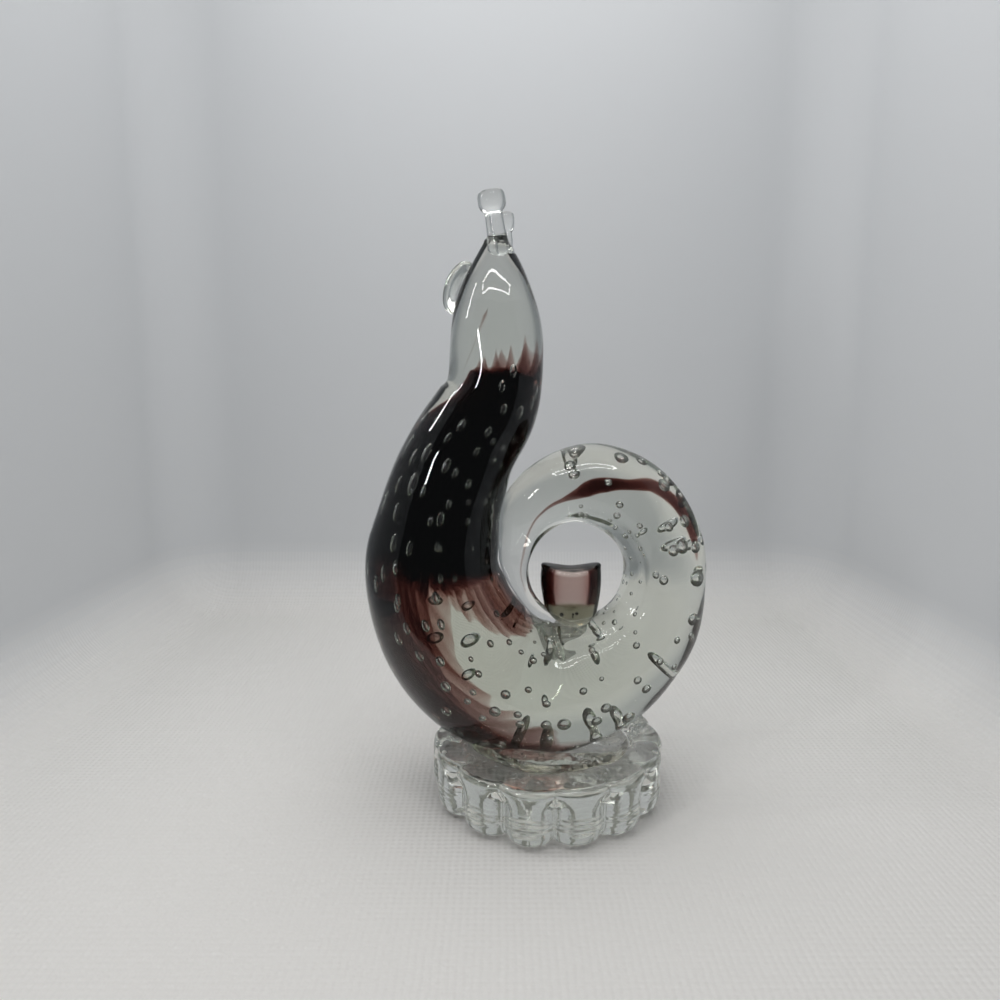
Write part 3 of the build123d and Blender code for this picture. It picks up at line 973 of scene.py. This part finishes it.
def cloth_material():
    """Pale woven cloth, seen from inside the tent only, with painted shade: walls darker and cooler than
    the floor, and side walls darker still for every ray but the camera's.
    """
    material = bpy.data.materials.new("pale_cloth")
    material.use_nodes = True
    nodes, links = material.node_tree.nodes, material.node_tree.links
    shader = nodes["Principled BSDF"]
    shader.inputs["Roughness"].default_value = 0.9
    shader.inputs["Specular IOR Level"].default_value = 0.1
    coords = nodes.new("ShaderNodeTexCoord")
    weave = nodes.new("ShaderNodeMath")
    weave.operation = "ADD"
    for i, direction in enumerate("XY"):
        threads = nodes.new("ShaderNodeTexWave")
        threads.bands_direction = direction
        threads.inputs["Scale"].default_value = 170.0
        threads.inputs["Distortion"].default_value = 1.2
        threads.inputs["Detail"].default_value = 1.0
        links.new(coords.outputs["Object"], threads.inputs["Vector"])
        links.new(threads.outputs["Fac"], weave.inputs[i])
    bump = nodes.new("ShaderNodeBump")
    bump.inputs["Distance"].default_value = 0.00012
    side = nodes.new("ShaderNodeNewGeometry")
    upright = nodes.new("ShaderNodeSeparateXYZ")
    # Painted shade: the walls get a darker, cooler base colour than the floor of the same cloth.
    wall_shade_tone = nodes.new("ShaderNodeMix")
    wall_shade_tone.data_type = "RGBA"
    wall_shade_tone.inputs["A"].default_value = (0.69, 0.70, 0.71, 1)
    wall_shade_tone.inputs["B"].default_value = (0.80, 0.78, 0.75, 1)
    # Painted shade: the side walls get a darker base colour for every ray but the camera's, so the glass
    # reflects and refracts dim sides.
    paths = nodes.new("ShaderNodeLightPath")
    sideways = nodes.new("ShaderNodeMath")
    sideways.operation = "ABSOLUTE"
    side_shade_share = nodes.new("ShaderNodeMath")
    side_shade_share.operation = "SUBTRACT"
    side_shade_share.use_clamp = True
    painted_side_shade = nodes.new("ShaderNodeMix")
    painted_side_shade.data_type = "RGBA"
    painted_side_shade.inputs["B"].default_value = (0.42, 0.44, 0.46, 1)
    see_through = nodes.new("ShaderNodeBsdfTransparent")
    chosen = nodes.new("ShaderNodeMixShader")
    links.new(weave.outputs["Value"], bump.inputs["Height"])
    links.new(upright.outputs["Z"], bump.inputs["Strength"])
    links.new(bump.outputs["Normal"], shader.inputs["Normal"])
    links.new(side.outputs["True Normal"], upright.inputs["Vector"])
    links.new(upright.outputs["Z"], wall_shade_tone.inputs["Factor"])
    links.new(upright.outputs["X"], sideways.inputs[0])
    links.new(sideways.outputs["Value"], side_shade_share.inputs[0])
    links.new(paths.outputs["Is Camera Ray"], side_shade_share.inputs[1])
    links.new(side_shade_share.outputs["Value"], painted_side_shade.inputs["Factor"])
    links.new(wall_shade_tone.outputs["Result"], painted_side_shade.inputs["A"])
    links.new(painted_side_shade.outputs["Result"], shader.inputs["Base Color"])
    links.new(side.outputs["Backfacing"], chosen.inputs["Fac"])
    links.new(shader.outputs["BSDF"], chosen.inputs[1])
    links.new(see_through.outputs["BSDF"], chosen.inputs[2])
    links.new(chosen.outputs["Shader"], nodes["Material Output"].inputs["Surface"])
    return material


TENT_LOW = (-0.201, -0.125, -0.0002)
TENT_HIGH = (0.171, 0.207, 0.41)


def add_tent():
    """Light tent of pale cloth with soft corners, open at the front."""
    bm = bmesh.new()
    bmesh.ops.create_cube(bm, size=1.0)
    for vert in bm.verts:
        vert.co = [TENT_LOW[i] if vert.co[i] < 0 else TENT_HIGH[i] for i in range(3)]
    front = [face for face in bm.faces if face.normal.y < -0.5]
    bmesh.ops.delete(bm, geom=front, context="FACES_ONLY")
    folds = [edge for edge in bm.edges if len(edge.link_faces) == 2]
    bmesh.ops.bevel(bm, geom=folds, offset=0.035, segments=10, profile=0.5, affect="EDGES")
    bmesh.ops.reverse_faces(bm, faces=bm.faces)
    tent = bpy.data.objects.new("light_tent", finished_mesh(bm, "light_tent", [cloth_material()]))
    scene.collection.objects.link(tent)


def add_outer_floor():
    """Pale ground beyond the tent, for the camera only."""
    material = bpy.data.materials.new("pale_ground")
    material.use_nodes = True
    nodes, links = material.node_tree.nodes, material.node_tree.links
    nodes.remove(nodes["Principled BSDF"])
    pale = nodes.new("ShaderNodeEmission")
    pale.inputs["Color"].default_value = (0.52, 0.52, 0.51, 1)
    links.new(pale.outputs["Emission"], nodes["Material Output"].inputs["Surface"])
    material.cycles.emission_sampling = "NONE"
    bm = bmesh.new()
    bmesh.ops.create_circle(bm, cap_ends=True, segments=96, radius=2.0)
    bmesh.ops.translate(bm, verts=bm.verts, vec=(0, 0, -0.0012))
    ground = bpy.data.objects.new("outer_floor", finished_mesh(bm, "outer_floor", [material]))
    scene.collection.objects.link(ground)
    ground.visible_diffuse = False
    ground.visible_glossy = False
    ground.visible_transmission = False
    ground.visible_shadow = False


def add_lamp(name, location, size, power):
    """Rectangular lamp that shines straight down."""
    lamp = bpy.data.lights.new(name, "AREA")
    lamp.shape = "RECTANGLE"
    lamp.size, lamp.size_y = size
    lamp.energy = power
    holder = bpy.data.objects.new(name, lamp)
    holder.location = location
    holder.visible_camera = False
    scene.collection.objects.link(holder)
    return holder


add_tent()
add_outer_floor()
soft_top = add_lamp("soft_top", (-0.015, 0.04, 0.39), (0.33, 0.30), 0.57)
soft_top.visible_glossy = False
LED_HEIGHT = 0.375
for name, x, y, size in (
    ("led_front", -0.015, -0.225, (0.35, 0.008)),
    ("led_back", -0.015, -0.155, (0.35, 0.008)),
    ("led_left", -0.19, -0.19, (0.008, 0.062)),
    ("led_right", 0.16, -0.19, (0.008, 0.062)),
):
    add_lamp(name, (x, y, LED_HEIGHT), size, 75.0 * size[0] * size[1])
post = add_lamp("led_post", (-0.19, -0.205, 0.18), (0.012, 0.06), 0.09)
post.rotation_euler = (math.radians(90), 0, math.radians(-40))
edge = add_lamp("led_edge", (-0.19, -0.02, 0.25), (0.010, 0.08), 0.06)
edge.rotation_euler = (math.radians(90), 0, math.radians(-90))


def room_world():
    """Dim room in front of the tent, shown pale where the camera looks straight at it."""
    world = bpy.data.worlds.new("dim_room")
    world.use_nodes = True
    nodes, links = world.node_tree.nodes, world.node_tree.links
    paths = nodes.new("ShaderNodeLightPath")
    shade = nodes.new("ShaderNodeMix")
    shade.data_type = "RGBA"
    shade.inputs["A"].default_value = (0.08, 0.085, 0.09, 1)
    shade.inputs["B"].default_value = (0.42, 0.43, 0.44, 1)
    links.new(paths.outputs["Is Camera Ray"], shade.inputs["Factor"])
    links.new(shade.outputs["Result"], nodes["Background"].inputs["Color"])
    nodes["Background"].inputs["Strength"].default_value = 1.0
    return world


scene.world = room_world()

camera_data = bpy.data.cameras.new("camera")
camera_data.lens = 27.04
camera_data.sensor_width = 36.0
camera = bpy.data.objects.new("camera", camera_data)
camera.location = (-0.0149, -0.2216, 0.1263)
camera.rotation_euler = (math.radians(81.18), 0, 0)
scene.collection.objects.link(camera)
scene.camera = camera

scene.view_settings.view_transform = "Standard"
scene.cycles.max_bounces = 40
scene.cycles.transmission_bounces = 40
scene.cycles.glossy_bounces = 12
scene.cycles.transparent_max_bounces = 40
scene.cycles.use_denoising = True
scene.cycles.sample_clamp_indirect = 40.0
